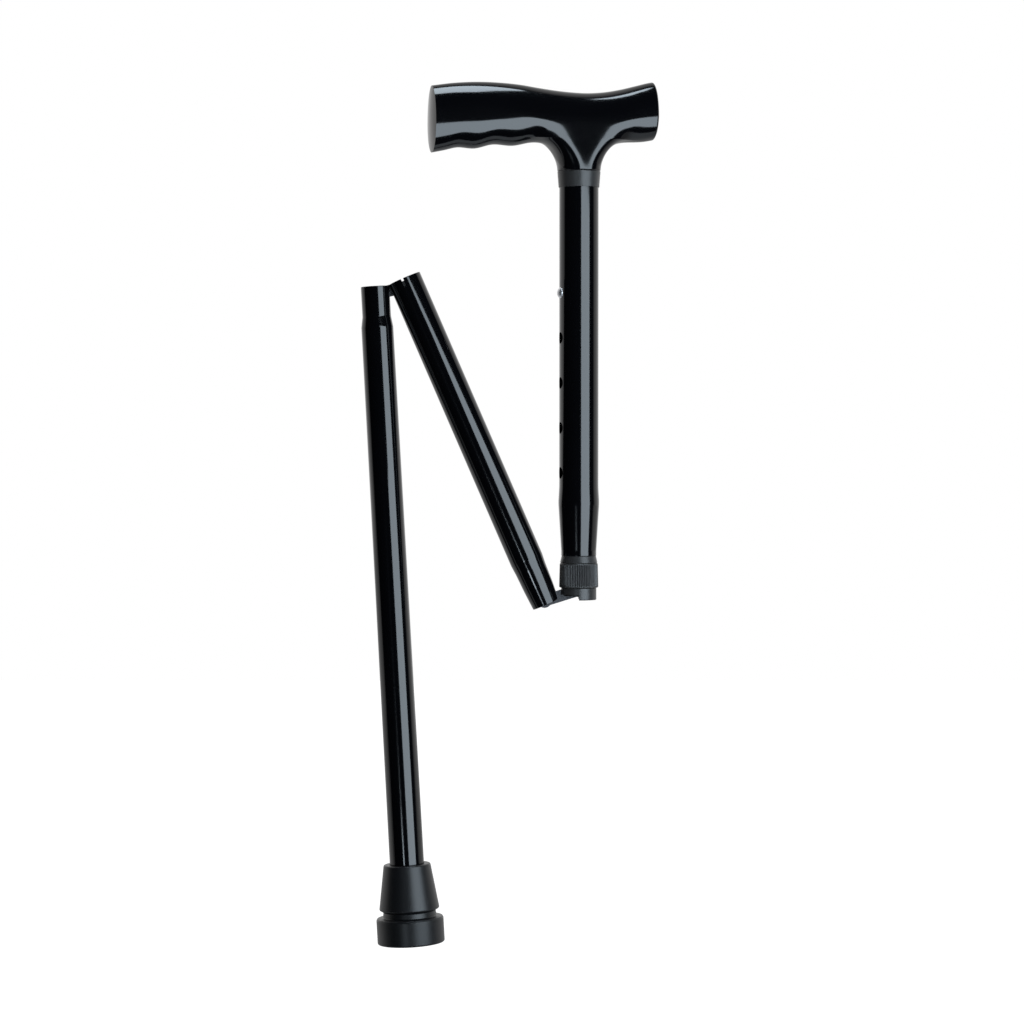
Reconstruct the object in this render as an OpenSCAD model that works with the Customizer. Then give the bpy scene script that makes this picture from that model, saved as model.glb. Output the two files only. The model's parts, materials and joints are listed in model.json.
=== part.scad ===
// Folding cane in three sections, shown half folded: the upper section hangs
// straight down from its grip, the middle one leans back up beside it and the
// lower one comes down again. Lengths are in millimetres and +Z is up. The
// origin is where the axis of the grip crosses the axis of the upper shaft.

/* [Grip] */
// Reach of the grip from the shaft axis to the tip of its nose
nose_len = 87.2; // [70:0.1:100]
// Reach of the grip from the shaft axis to its heel
heel_len = 45.4; // [38:0.1:60]
// Height of the grip's crown above the grip axis
crown_h = 19; // [15:0.1:24]
// Depth of the nose below the grip axis
nose_drop = 23.9; // [17:0.1:28]
// Width of the grip across the palm
grip_w = 21.6; // [19:0.1:30]
// Depth of the stem's foot below the grip axis
stem_drop = 32.4; // [29:0.1:45]
// Wall of the stem around the shaft tube
stem_wall = 1.2; // [1:0.1:3]
// Sideways reach of the stem where it flows into the grip
flare_reach = 24; // [18:0.5:30]
// Length of shaft tube held inside the stem
tube_seat = 16; // [12:0.5:17]
// Height of the plastic collar under the stem
collar_h = 9.1; // [5:0.1:16]
// Wall of that collar at its foot
collar_wall = 0.5; // [0.4:0.1:2]

/* [Upper section] */
// Outer diameter of the upper tube
tube_od = 22.2; // [21:0.1:26]
// Wall of the upper tube
tube_wall = 1; // [0.8:0.1:1.1]
// Bare length of the upper tube below the collar
tube_show = 208; // [190:1:260]
// Length of the drawn-in end of the upper tube
swage_len = 32; // [15:1:40]
// Straight lip at the end of the drawn-in cone
lip_len = 3; // [2:0.5:8]
// Height of the rolled bead above the drawn-in end
bead_h = 0.35; // [0.2:0.05:0.6]
// Height of the top setting hole above the tube's end
hole_rise = 148.5; // [140:0.5:165]
// Distance between two setting holes
hole_pitch = 25.4; // [20:0.1:27]
// Number of setting holes
hole_count = 5; // [2:1:5]
// Turn of the hole row, from straight right, towards the back
button_turn = 197; // [180:1:215]

/* [Height lock] */
// Outer diameter of the telescoping inner tube
inner_od = 17.8; // [17:0.1:18.2]
// Wall of the inner tube
inner_wall = 0.9; // [0.8:0.1:1.2]
// Length of inner tube above the snap button
inner_over = 22; // [16:1:40]
// Height of the guide bush on top of the inner tube
guide_h = 12; // [6:0.5:14]
// Height of the flange of the lock bush
flange_h = 4; // [2:0.1:8]
// Outer diameter of that flange
flange_od = 20.5; // [20.4:0.1:23]
// Height of the ribbed lock ring
ring_h = 14.1; // [10:0.1:24]
// Outer diameter of the lock ring over its ribs
ring_od = 22.2; // [22:0.1:24]
// Wall of the lock ring
ring_wall = 1.3; // [1.2:0.1:1.5]
// Spacing of the ribs around the ring
rib_pitch = 1.25; // [1:0.05:3]
// Depth of the grooves between the ribs
rib_depth = 0.4; // [0.2:0.05:0.6]
// Height of the ferrule at the mouth of the inner tube
ferrule_h = 6.8; // [6.5:0.1:10]
// Outer diameter of that ferrule
ferrule_od = 20; // [19.6:0.1:22]
// Diameter of the snap button
button_d = 6.4; // [5:0.1:7]
// How far the button stands out of the upper tube
button_out = 1.7; // [1:0.1:3]
// Thickness of the button's inner flange
button_flange = 1; // [0.8:0.1:1.5]
// Thickness of the snap spring's leaf
leaf_t = 0.6; // [0.4:0.1:0.8]
// Width of the snap spring's leaf
leaf_w = 5; // [3:0.5:6]
// Length of the snap spring
leaf_len = 26; // [18:1:30]

/* [Fold joints] */
// Thickness of the steel links
link_t = 2; // [1.5:0.1:3]
// Width of a link around its pins
link_end_d = 8; // [6.5:0.1:8.4]
// Width of a link between its pins
link_waist = 6.6; // [4:0.1:6.6]
// Diameter of the pins in the links
pin_d = 2.4; // [2:0.1:3]
// Pin distance of the upper link
upper_link_len = 20.33; // [20.2:0.01:21.5]
// Pin distance of the lower link
lower_link_len = 18.75; // [18.7:0.01:20]
// Depth of the upper slider's pin inside the mouth
upper_pin_depth = 5.5; // [5.2:0.1:5.6]
// Depth of the lower slider's pin inside the mouth
lower_pin_depth = 4.9; // [4.6:0.1:6]
// Depth of the upper neck's pin inside the neck's end
upper_neck_depth = 2.2; // [2:0.1:3]
// Depth of the lower neck's pin inside the neck's end
lower_neck_depth = 4.3; // [3:0.1:5]
// Fold between the upper section and its link, from straight
upper_link_angle = 72.6; // [60:0.1:80]
// Fold between that link and the middle section, from straight
upper_neck_angle = 83.9; // [75:0.1:90]
// Fold between the middle section and its link, from straight
lower_link_angle = 79.8; // [70:0.1:84]
// Fold between that link and the lower section, from straight
lower_neck_angle = 79.8; // [70:0.1:84]
// Length of the sliders
slider_len = 12; // [10:0.5:16]
// Length of the plugs in the necks
plug_len = 11; // [9.5:0.5:16]
// Depth of the half notch in the upper mouth, on its fold side
upper_notch = 3; // [2:0.1:5]
// Depth of the half notch in the middle tube's mouth
lower_notch = 5.5; // [4.5:0.1:7]
// Length of the link slot in the middle tube's mouth
slot_len = 24; // [12:0.5:30]
// Diameter of the elastic draw cords
cord_d = 4; // [3:0.1:5]
// Distance of the lower cord's anchor plug from its mouth
anchor_depth = 132; // [80:1:150]
// Room between the snap spring and the upper cord's knot
knot_gap = 6; // [3:0.5:20]
// Height of the plugs that the cords are knotted behind
anchor_h = 4; // [3:0.5:8]
// Diameter of the knots at the cords' ends
knot_d = 8; // [7:0.5:10]

/* [Middle section] */
// Outer diameter of the middle tube
mid_od = 19.05; // [18.5:0.05:19.3]
// Wall of the middle tube
mid_wall = 1.2; // [1:0.1:1.3]
// Length of the middle tube
mid_len = 201; // [170:1:220]
// Length of its tapered neck
mid_neck_len = 22; // [16:0.5:28]
// Diameter of that neck at its end
mid_neck_d = 15.7; // [15.2:0.1:15.8]
// Diameter of that neck at its shoulder
mid_root_d = 18; // [16.5:0.1:18.2]
// Length of the shoulder between neck and tube
shoulder_len = 5; // [2:0.5:10]
// Wall of the necks
neck_wall = 1; // [0.8:0.1:1.2]

/* [Lower section] */
// Diameter of the lower tube below its shoulder
low_top_d = 18.1; // [17.5:0.1:18.6]
// Diameter of the lower tube at its foot
low_foot_d = 19.5; // [18.8:0.1:20]
// Wall of the lower tube
low_wall = 1.2; // [1:0.1:1.6]
// Length of lower tube that shows above the tip
low_show = 327.8; // [280:1:380]
// Length of lower tube inside the tip
low_seat = 28; // [20:0.5:30]
// Length of its straight neck
low_neck_len = 16.5; // [14:0.5:20]
// Diameter of that neck
low_neck_d = 16.4; // [16:0.1:16.5]

/* [Tip] */
// Height of the rubber tip
tip_h = 45; // [40:0.5:60]
// Diameter of the tip at its top rim
tip_rim_d = 26.6; // [24:0.1:30]
// Diameter of the tip above its groove
tip_waist_d = 33.8; // [31:0.1:36]
// Diameter of the tip's base
tip_base_d = 37.8; // [36:0.1:42]
// Height of the base below the groove
tip_base_h = 14.7; // [10:0.1:20]
// Height of the groove
tip_groove_h = 4.8; // [2:0.1:6]
// Depth of the groove below the cone's end
tip_groove_depth = 0.9; // [0.5:0.1:2]
// Diameter of the flat land in the middle of the sole
sole_land_d = 8; // [6:0.5:10]
// Depth of the ring grooves in the sole
sole_groove = 1.4; // [1:0.1:3]
// Thickness of the steel washer under the tube
washer_t = 1.5; // [1:0.1:2.5]

/* [Fits] */
// Gap of a part that is bonded or pressed in place
bond_gap = 0.02; // [0.01:0.01:0.04]
// Gap of a turning or sliding fit
run_gap = 0.06; // [0.04:0.01:0.08]
// Gap of a loose sliding piece
slide_gap = 0.15; // [0.1:0.05:0.3]
// Gap at a stop
stop_gap = 0.1; // [0.1:0.05:0.3]

/* [Hidden] */
$fn = 64;

// One overrun for every cut
overrun = 1;

// Radii of the upper section, from the outside in
tube_r = tube_od / 2;
tube_in_r = tube_r - tube_wall;
inner_r = inner_od / 2;
inner_in_r = inner_r - inner_wall;
lip_in_r = inner_r + run_gap;
lip_r = lip_in_r + tube_wall;
sleeve_r = ring_od / 2 - ring_wall - run_gap;
stem_r = tube_r + bond_gap + stem_wall;
mid_r = mid_od / 2;
mid_in_r = mid_r - mid_wall;
ferrule_r = ferrule_od / 2;

// Levels of the upper section, from the grip axis down
stem_z = -stem_drop;
tube_top_z = stem_z + tube_seat;
collar_z = stem_z - collar_h;
tube_end_z = collar_z - tube_show;
flange_z = tube_end_z - flange_h;
ring_z = flange_z - ring_h;
ferrule_z = ring_z - stop_gap;
mouth_z = ferrule_z - ferrule_h;
hole_z = tube_end_z + hole_rise;
inner_top_z = hole_z + inner_over;

// Headings of the links and lower sections, as turns about +Y from straight up
upper_link_turn = 180 + upper_link_angle;
mid_turn = upper_link_turn + upper_neck_angle;
lower_link_turn = mid_turn - lower_link_angle;
low_turn = lower_link_turn - lower_neck_angle;
function heading(turn) = [sin(turn), 0, cos(turn)];

// Pins and ends of the sections along the fold
upper_pin = [0, 0, mouth_z + upper_pin_depth];
upper_neck = upper_pin + upper_link_len * heading(upper_link_turn);
mid_end = upper_neck - upper_neck_depth * heading(mid_turn);
mid_mouth = mid_end + mid_len * heading(mid_turn);
lower_pin = mid_mouth - lower_pin_depth * heading(mid_turn);
lower_neck = lower_pin + lower_link_len * heading(lower_link_turn);
low_end = lower_neck - lower_neck_depth * heading(low_turn);
tip_foot = low_end + (low_show + tip_h) * heading(low_turn);

// Travel that draws each mouth down onto its neck as the joint straightens
upper_draw = upper_link_len - upper_pin_depth - upper_neck_depth - stop_gap * 5;
lower_draw = lower_link_len - lower_pin_depth - lower_neck_depth - stop_gap * 5;

// Button travel that clears the bore of the upper tube, and its inner flange
button_top = tube_r + button_out;
button_press = button_top - tube_in_r + 2 * slide_gap;
button_bore_r = button_d / 2 + run_gap;
button_flange_r = button_d / 2 + button_flange;
button_flange_x = sqrt(pow(inner_in_r - slide_gap, 2) - pow(button_flange_r, 2));

// Slots that the links swing through
link_slot = link_t + 4 * slide_gap;
upper_slot = upper_pin_depth + link_end_d / 2 - slide_gap;
upper_neck_slot = upper_neck_depth + link_end_d / 2 + button_flange;
lower_neck_slot = lower_neck_depth + link_end_d / 2 + button_flange;
slider_under = link_end_d / 2 - 4 * slide_gap;
knot_seat = sqrt(pow(knot_d / 2, 2) - pow(cord_d / 2 + slide_gap, 2));
spring_foot_z = hole_z + button_flange_r - leaf_len;
upper_anchor_depth = spring_foot_z - mouth_z - knot_gap - knot_d / 2 - knot_seat - anchor_h;
mid_plug_d = mid_neck_d - 2 * neck_wall;
low_plug_d = low_neck_d - 2 * neck_wall;

// Colours of the finishes
black_gloss = "#15161a";
dark_plastic = "#3a3b3e";
steel = "silver";
cord_black = "#202022";
rubber_black = "#1b1b1d";

// Form of the grip along its length: place, top, underside and width.
// A place below zero is a share of the nose, one above zero of the heel.
// Tops are shares of the crown, undersides of the nose's drop, widths of the grip's.
grip_shares = [
    [-1, -0.037, -0.418, 0.208], [-0.998, 0.308, -0.692, 0.5], [-0.993, 0.599, -0.922, 0.75],
    [-0.989, 0.699, -1.001, 0.843], [-0.917, 0.752, -0.955, 0.866], [-0.851, 0.793, -0.893, 0.889],
    [-0.768, 0.821, -0.875, 0.912], [-0.702, 0.846, -0.884, 0.935], [-0.642, 0.849, -0.835, 0.944],
    [-0.587, 0.852, -0.783, 0.954], [-0.516, 0.841, -0.787, 0.963], [-0.444, 0.82, -0.796, 0.977],
    [-0.396, 0.801, -0.761, 0.981], [-0.33, 0.758, -0.712, 0.991], [-0.241, 0.702, -0.697, 0.995],
    [-0.117, 0.646, -0.683, 1], [0, 0.621, -0.669, 1], [0.141, 0.621, -0.661, 1],
    [0.275, 0.652, -0.653, 0.991], [0.463, 0.719, -0.646, 0.981], [0.634, 0.811, -0.636, 0.963],
    [0.837, 0.937, -0.619, 0.935], [0.921, 0.985, -0.598, 0.917], [0.956, 0.998, -0.587, 0.903],
    [0.978, 0.958, -0.552, 0.843], [0.993, 0.843, -0.459, 0.685], [1, 0.517, -0.2, 0.37]
];
// Form of the stem from its foot up: level between foot and grip axis, flare, and depth
stem_shares = [
    [0, 0, 1], [0.14, 0.09, 1.012], [0.28, 0.23, 1.022], [0.36, 0.36, 1.016], [0.425, 0.54, 1.008],
    [0.49, 0.83, 0.998], [0.56, 1, 0.984], [0.63, 0.85, 0.965], [0.72, 0.6, 0.93],
    [0.82, 0.35, 0.89], [0.9, 0.15, 0.84]
];
// Roundness of the grip's section: 1 is an ellipse, less is squarer
grip_round_share = 0.86;
grip_sides = 24;

// The nose stands over the row of setting holes
grip_turn = button_turn - 180;

function rounded(v) = sign(v) * pow(abs(v), grip_round_share);
function grip_place(share) = share < 0 ? share * nose_len : share * heel_len;
function grip_ring(s) =
    let (x = grip_place(s[0]), top = s[1] * crown_h, under = s[2] * nose_drop)
    [for (i = [0 : grip_sides - 1]) let (t = 360 * i / grip_sides) [
        x,
        s[3] * grip_w / 2 * rounded(cos(t)),
        (top + under) / 2 + (top - under) / 2 * rounded(sin(t))
    ]];
function stem_ring(s) =
    let (reach = stem_r + s[1] * (flare_reach - stem_r))
    [for (i = [0 : grip_sides - 1]) let (t = 360 * i / grip_sides)
        [reach * cos(t), s[2] * stem_r * sin(t), stem_z * (1 - s[0])]];

// A skin over a list of rings, closed at both ends
module loft(rings) {
    sides = len(rings[0]);
    last = (len(rings) - 1) * sides;
    points = [for (ring = rings) each ring];
    walls = [for (k = [0 : len(rings) - 2], i = [0 : sides - 1]) let (
        a = k * sides + i, b = k * sides + (i + 1) % sides
    ) each [[b + sides, b, a], [a + sides, b + sides, a]]];
    foot = [for (i = [1 : sides - 2]) [0, i, i + 1]];
    head = [for (i = [1 : sides - 2]) [last, last + i + 1, last + i]];
    polyhedron(points, concat(walls, foot, head));
}

// A round body turned from a list of radius and height pairs
module turned(profile) {
    rotate_extrude() polygon(profile);
}

// A round tube between two heights
module pipe(r, bore_r, z, h) {
    translate([0, 0, z]) difference() {
        cylinder(r = r, h = h);
        translate([0, 0, -overrun]) cylinder(r = bore_r, h = h + 2 * overrun);
    }
}

// A pin across the part, along Y
module cross_pin(d, length) {
    rotate([90, 0, 0]) cylinder(d = d, h = length, center = true);
}

// A cut for a link through one wall, open at the end of the tube
module wall_slot(reach, depth) {
    translate([0, -link_slot / 2, -overrun]) cube([reach, link_slot, depth + overrun]);
}

// A cut that takes half of a tube's end away, on the side that folds
module half_notch(reach, depth) {
    translate([0, -reach, -overrun]) cube([reach, 2 * reach, depth + overrun]);
}

// Frames: the middle and lower tubes start at their necks, which fold towards +X,
// and the mouths open downwards and fold towards +X too
module at_middle() { translate(mid_end) rotate([0, mid_turn, 0]) children(); }
module at_lower() { translate(low_end) rotate([0, low_turn, 0]) rotate([0, 0, 180]) children(); }
module at_upper_mouth() { translate([0, 0, mouth_z]) rotate([0, 0, 180]) children(); }
module at_lower_mouth() { translate(mid_mouth) rotate([0, mid_turn + 180, 0]) children(); }
module at_button() { translate([0, 0, hole_z]) rotate([0, 0, button_turn]) children(); }

module handle() {
    color(black_gloss) difference() {
        rotate([0, 0, grip_turn]) {
            loft([for (s = grip_shares) grip_ring(s)]);
            loft([for (s = stem_shares) stem_ring(s)]);
        }
        translate([0, 0, stem_z - overrun]) cylinder(r = tube_r + bond_gap, h = tube_seat + overrun);
    }
}

module handle_collar() {
    bore_r = tube_r + bond_gap;
    color(dark_plastic) turned([
        [bore_r, stem_z], [stem_r, stem_z], [stem_r, stem_z - collar_wall],
        [bore_r + collar_wall, collar_z], [bore_r, collar_z]
    ]);
}

module upper_tube() {
    cone_z = tube_end_z + swage_len;
    lip_z = tube_end_z + lip_len;
    color(black_gloss) difference() {
        turned([
            [tube_in_r, tube_top_z], [tube_r, tube_top_z],
            [tube_r, cone_z + 3 * bead_h], [tube_r + bead_h, cone_z + bead_h], [tube_r, cone_z - bead_h],
            [lip_r, lip_z], [lip_r, tube_end_z], [lip_in_r, tube_end_z],
            [lip_in_r, lip_z], [tube_in_r, cone_z]
        ]);
        for (i = [0 : hole_count - 1]) translate([0, 0, -i * hole_pitch]) at_button()
            rotate([0, 90, 0]) cylinder(r = button_bore_r, h = tube_r + overrun);
    }
}

module lock_bush() {
    color(dark_plastic) turned([
        [lip_in_r, tube_end_z], [flange_od / 2, tube_end_z], [flange_od / 2, flange_z],
        [sleeve_r, flange_z], [sleeve_r, ring_z + stop_gap], [lip_in_r, ring_z + stop_gap]
    ]);
}

module lock_ring() {
    ribs = round(PI * ring_od / rib_pitch);
    color(dark_plastic) translate([0, 0, ring_z]) linear_extrude(ring_h - stop_gap) difference() {
        circle(d = ring_od);
        circle(r = sleeve_r + run_gap);
        for (i = [0 : ribs - 1]) rotate(360 * i / ribs) translate([ring_od / 2, 0])
            rotate(45) square(rib_depth * sqrt(2), center = true);
    }
}

module inner_tube() {
    color(black_gloss) difference() {
        pipe(inner_r, inner_in_r, mouth_z, inner_top_z - mouth_z);
        at_button() rotate([0, 90, 0]) cylinder(r = button_bore_r, h = inner_r + overrun);
        at_upper_mouth() wall_slot(inner_r + overrun, upper_slot);
        at_upper_mouth() half_notch(inner_r + overrun, upper_notch);
    }
}

module guide_bush() {
    color(dark_plastic) pipe(tube_in_r - run_gap, inner_r + bond_gap, inner_top_z - guide_h, guide_h);
}

module mouth_ferrule() {
    color(dark_plastic) difference() {
        pipe(ferrule_r, inner_r + bond_gap, mouth_z, ferrule_h);
        at_upper_mouth() wall_slot(ferrule_r + overrun, ferrule_h + overrun);
        at_upper_mouth() half_notch(ferrule_r + overrun, upper_notch);
    }
}

module snap_button() {
    dome_r = (pow(button_d / 2, 2) + pow(button_out, 2)) / (2 * button_out);
    color(steel) at_button() rotate([0, 90, 0]) {
        translate([0, 0, button_flange_x]) cylinder(d = button_d, h = tube_r - button_flange_x);
        translate([0, 0, tube_r]) intersection() {
            cylinder(d = button_d, h = button_out);
            translate([0, 0, button_out - dome_r]) sphere(r = dome_r);
        }
        translate([0, 0, button_flange_x - button_flange]) cylinder(r = button_flange_r, h = button_flange);
    }
}

module snap_spring() {
    near_x = button_flange_x - button_flange - stop_gap;
    far_x = -sqrt(pow(inner_in_r - slide_gap, 2) - pow(leaf_w / 2, 2));
    head_z = button_flange_r;
    color(steel) at_button() rotate([90, 0, 0]) linear_extrude(leaf_w, center = true) polygon([
        [near_x, head_z], [near_x, -head_z], [far_x + 2 * leaf_t, head_z - leaf_len],
        [far_x, head_z - leaf_len], [far_x, 0], [far_x + leaf_t, 0],
        [far_x + leaf_t, leaf_t + head_z - leaf_len], [far_x + 2 * leaf_t, leaf_t + head_z - leaf_len],
        [near_x - leaf_t, -head_z], [near_x - leaf_t, head_z]
    ]);
}

// The slider of a fold joint: a plug with a slot for its link, from the mouth's frame
module slider(bore_r, pin_depth) {
    plug_r = bore_r - slide_gap;
    low_z = pin_depth - slider_under;
    room = link_end_d / 2 + slide_gap;
    difference() {
        translate([0, 0, low_z]) cylinder(r = plug_r, h = slider_len);
        translate([-room, -link_t / 2 - slide_gap, low_z - overrun])
            cube([room + plug_r + overrun, link_t + 2 * slide_gap, slider_under + room + overrun]);
        translate([0, 0, pin_depth]) cross_pin(pin_d + 2 * bond_gap, 2 * bore_r);
    }
}

// A steel link between two pins, from its first pin along +Z
module link(length) {
    rotate([90, 0, 0]) linear_extrude(link_t, center = true) difference() {
        union() {
            circle(d = link_end_d);
            translate([0, length]) circle(d = link_end_d);
            translate([-link_waist / 2, 0]) square([link_waist, length]);
        }
        circle(d = pin_d + 2 * run_gap);
        translate([0, length]) circle(d = pin_d + 2 * run_gap);
    }
}

// The plug of a neck: it holds the link's second pin, from the neck's frame
module neck_plug(bore_r, pin_depth) {
    plug_r = bore_r - bond_gap;
    room = link_end_d / 2 + slide_gap;
    difference() {
        translate([0, 0, stop_gap]) cylinder(r = plug_r, h = plug_len);
        translate([-room, -link_t / 2 - slide_gap, -overrun])
            cube([room + plug_r + overrun, link_t + 2 * slide_gap, pin_depth + room + overrun]);
        translate([0, 0, pin_depth]) cross_pin(pin_d + 2 * bond_gap, 2 * bore_r);
    }
}

// A plug pressed into the bore, with a hole for the cord, from the mouth's frame
module cord_anchor(bore_r, depth) {
    pipe(bore_r - bond_gap, cord_d / 2 + slide_gap, depth, anchor_h);
}

// An elastic cord from a slider through its anchor plug to a knot, in the mouth's frame
module draw_cord(pin_depth, depth) {
    start_z = pin_depth - slider_under + slider_len;
    knot_z = depth + anchor_h + knot_seat;
    color(cord_black) {
        translate([0, 0, start_z]) cylinder(d = cord_d, h = knot_z - start_z);
        translate([0, 0, knot_z]) sphere(d = knot_d);
    }
}

module upper_cord_anchor() { color(dark_plastic) at_upper_mouth() cord_anchor(inner_in_r, upper_anchor_depth); }

module upper_draw_cord() { at_upper_mouth() draw_cord(upper_pin_depth, upper_anchor_depth); }

module upper_slider() { color(dark_plastic) at_upper_mouth() slider(inner_in_r, upper_pin_depth); }

module upper_slider_pin() {
    color(steel) translate(upper_pin) cross_pin(pin_d, 2 * inner_in_r - 6 * slide_gap);
}

module upper_link() { color(steel) translate(upper_pin) rotate([0, upper_link_turn, 0]) link(upper_link_len); }

module middle_tube() {
    end_r = mid_neck_d / 2;
    root_r = mid_root_d / 2;
    shoulder_z = mid_neck_len + shoulder_len;
    color(black_gloss) at_middle() difference() {
        turned([
            [end_r - neck_wall, 0], [end_r, 0], [root_r, mid_neck_len], [mid_r, shoulder_z],
            [mid_r, mid_len], [mid_in_r, mid_len], [mid_in_r, shoulder_z],
            [root_r - mid_wall, mid_neck_len]
        ]);
        wall_slot(mid_r, upper_neck_slot);
        translate([0, 0, mid_len]) mirror([0, 0, 1]) rotate([0, 0, 180]) {
            wall_slot(mid_r + overrun, slot_len);
            half_notch(mid_r + overrun, lower_notch);
        }
    }
}

module upper_neck_pin() {
    color(steel) translate(upper_neck) cross_pin(pin_d, mid_plug_d - 6 * slide_gap);
}

module upper_neck_plug() { color(dark_plastic) at_middle() neck_plug(mid_plug_d / 2, upper_neck_depth); }

module lower_cord_anchor() { color(dark_plastic) at_lower_mouth() cord_anchor(mid_in_r, anchor_depth); }

module lower_draw_cord() { at_lower_mouth() draw_cord(lower_pin_depth, anchor_depth); }

module lower_slider() { color(dark_plastic) at_lower_mouth() slider(mid_in_r, lower_pin_depth); }

module lower_slider_pin() {
    color(steel) translate(lower_pin) cross_pin(pin_d, 2 * mid_in_r - 6 * slide_gap);
}

module lower_link() { color(steel) translate(lower_pin) rotate([0, lower_link_turn, 0]) link(lower_link_len); }

module lower_tube() {
    neck_r = low_neck_d / 2;
    top_r = low_top_d / 2;
    foot_r = low_foot_d / 2;
    shoulder_z = low_neck_len + shoulder_len;
    foot_z = low_show + low_seat;
    color(black_gloss) at_lower() difference() {
        turned([
            [neck_r - neck_wall, 0], [neck_r, 0], [neck_r, low_neck_len], [top_r, shoulder_z],
            [foot_r, low_show], [foot_r, foot_z], [foot_r - low_wall, foot_z],
            [foot_r - low_wall, low_show], [top_r - low_wall, shoulder_z], [neck_r - neck_wall, low_neck_len]
        ]);
        wall_slot(neck_r + overrun, lower_neck_slot);
    }
}

module lower_neck_pin() {
    color(steel) translate(lower_neck) cross_pin(pin_d, low_plug_d - 6 * slide_gap);
}

module lower_neck_plug() { color(dark_plastic) at_lower() neck_plug(low_plug_d / 2, lower_neck_depth); }

module tip() {
    bore_r = low_foot_d / 2 + bond_gap;
    seat_z = low_show + low_seat + washer_t + 2 * bond_gap;
    sole_z = low_show + tip_h;
    base_z = sole_z - tip_base_h;
    cone_z = base_z - tip_groove_h;
    waist_r = tip_waist_d / 2;
    base_r = tip_base_d / 2;
    ring_step = (base_r - sole_land_d / 2) / 7;
    color(rubber_black) at_lower() difference() {
        turned([
            [bore_r, low_show], [tip_rim_d / 2, low_show], [waist_r, cone_z],
            [waist_r - tip_groove_depth, cone_z + tip_groove_depth],
            [waist_r - tip_groove_depth, base_z - tip_groove_depth],
            [base_r - tip_groove_depth, base_z], [base_r, base_z + tip_groove_depth], [base_r, sole_z],
            [0, sole_z], [0, seat_z], [bore_r, seat_z]
        ]);
        for (k = [0 : 2]) pipe_cut(sole_land_d / 2 + (2 * k + 1) * ring_step, ring_step, sole_z);
    }
}

// A ring groove cut up into the sole
module pipe_cut(r, width, sole_z) {
    pipe(r + width, r, sole_z - sole_groove, sole_groove + overrun);
}

module tip_washer() {
    color(steel) at_lower()
        pipe(low_foot_d / 2 - slide_gap, low_foot_d / 4, low_show + low_seat + bond_gap, washer_t);
}

handle();
handle_collar();
upper_tube();
lock_bush();
lock_ring();
inner_tube();
guide_bush();
mouth_ferrule();
snap_button();
snap_spring();
upper_cord_anchor();
upper_draw_cord();
upper_slider();
upper_slider_pin();
upper_link();
middle_tube();
upper_neck_plug();
upper_neck_pin();
lower_cord_anchor();
lower_draw_cord();
lower_slider();
lower_slider_pin();
lower_link();
lower_tube();
lower_neck_plug();
lower_neck_pin();
tip();
tip_washer();
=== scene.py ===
import json
import math
import bmesh
import bpy
import numpy as np
from mathutils import Matrix, Vector


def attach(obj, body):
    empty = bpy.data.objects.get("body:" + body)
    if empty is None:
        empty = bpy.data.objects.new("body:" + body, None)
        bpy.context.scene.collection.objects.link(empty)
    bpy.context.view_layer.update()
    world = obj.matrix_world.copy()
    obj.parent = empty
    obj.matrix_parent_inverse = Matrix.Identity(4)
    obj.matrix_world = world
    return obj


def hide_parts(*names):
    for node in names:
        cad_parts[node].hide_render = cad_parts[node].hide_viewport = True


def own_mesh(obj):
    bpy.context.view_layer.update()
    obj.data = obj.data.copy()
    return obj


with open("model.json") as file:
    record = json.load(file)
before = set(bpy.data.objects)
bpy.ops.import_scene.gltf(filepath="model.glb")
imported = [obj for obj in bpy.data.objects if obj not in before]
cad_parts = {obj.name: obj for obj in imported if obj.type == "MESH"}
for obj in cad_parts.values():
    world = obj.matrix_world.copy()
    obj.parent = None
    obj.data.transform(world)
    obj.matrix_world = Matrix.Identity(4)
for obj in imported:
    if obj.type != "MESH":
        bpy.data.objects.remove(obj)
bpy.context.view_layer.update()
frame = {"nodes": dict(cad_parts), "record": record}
print("stage: frame loaded")

# Sizes of the pieces are in millimetres in the CAD frame; meshes, soft pieces and the stage are in metres.
toMetres = 0.001

# The folded shaft: pins and section ends follow from the link lengths and headings,
# where a heading is a turn about +Y from straight up.
fold = {
    "mouthZ": -274.5,
    "upperPinDepth": 5.5, "upperLink": 20.33, "upperNeckDepth": 2.2,
    "middleLength": 201.0,
    "lowerPinDepth": 4.9, "lowerLink": 18.75, "lowerNeckDepth": 4.3,
    "upperLinkTurn": 252.6, "middleTurn": 336.5, "lowerLinkTurn": 256.7, "lowerTurn": 176.9,
}


def heading(turn):
    angle = math.radians(turn)
    return Vector((math.sin(angle), 0.0, math.cos(angle)))


upperPin = Vector((0, 0, fold["mouthZ"] + fold["upperPinDepth"]))
upperNeck = upperPin + fold["upperLink"] * heading(fold["upperLinkTurn"])
middleEnd = upperNeck - fold["upperNeckDepth"] * heading(fold["middleTurn"])
middleMouth = middleEnd + fold["middleLength"] * heading(fold["middleTurn"])
lowerPin = middleMouth - fold["lowerPinDepth"] * heading(fold["middleTurn"])
lowerNeck = lowerPin + fold["lowerLink"] * heading(fold["lowerLinkTurn"])
lowerEnd = lowerNeck - fold["lowerNeckDepth"] * heading(fold["lowerTurn"])


def turnY(degrees):
    return Matrix.Rotation(math.radians(degrees), 4, "Y")


def turnZ(degrees):
    return Matrix.Rotation(math.radians(degrees), 4, "Z")


atUpper = Matrix.Identity(4)
atMiddle = Matrix.Translation(middleEnd) @ turnY(fold["middleTurn"])
atLower = Matrix.Translation(lowerEnd) @ turnY(fold["lowerTurn"]) @ turnZ(180)


# Meshes

def shadeSmooth(mesh, sharpAngle):
    mesh.polygons.foreach_set("use_smooth", [True] * len(mesh.polygons))
    mesh.set_sharp_from_angle(angle=math.radians(sharpAngle))
    mesh.update()


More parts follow.
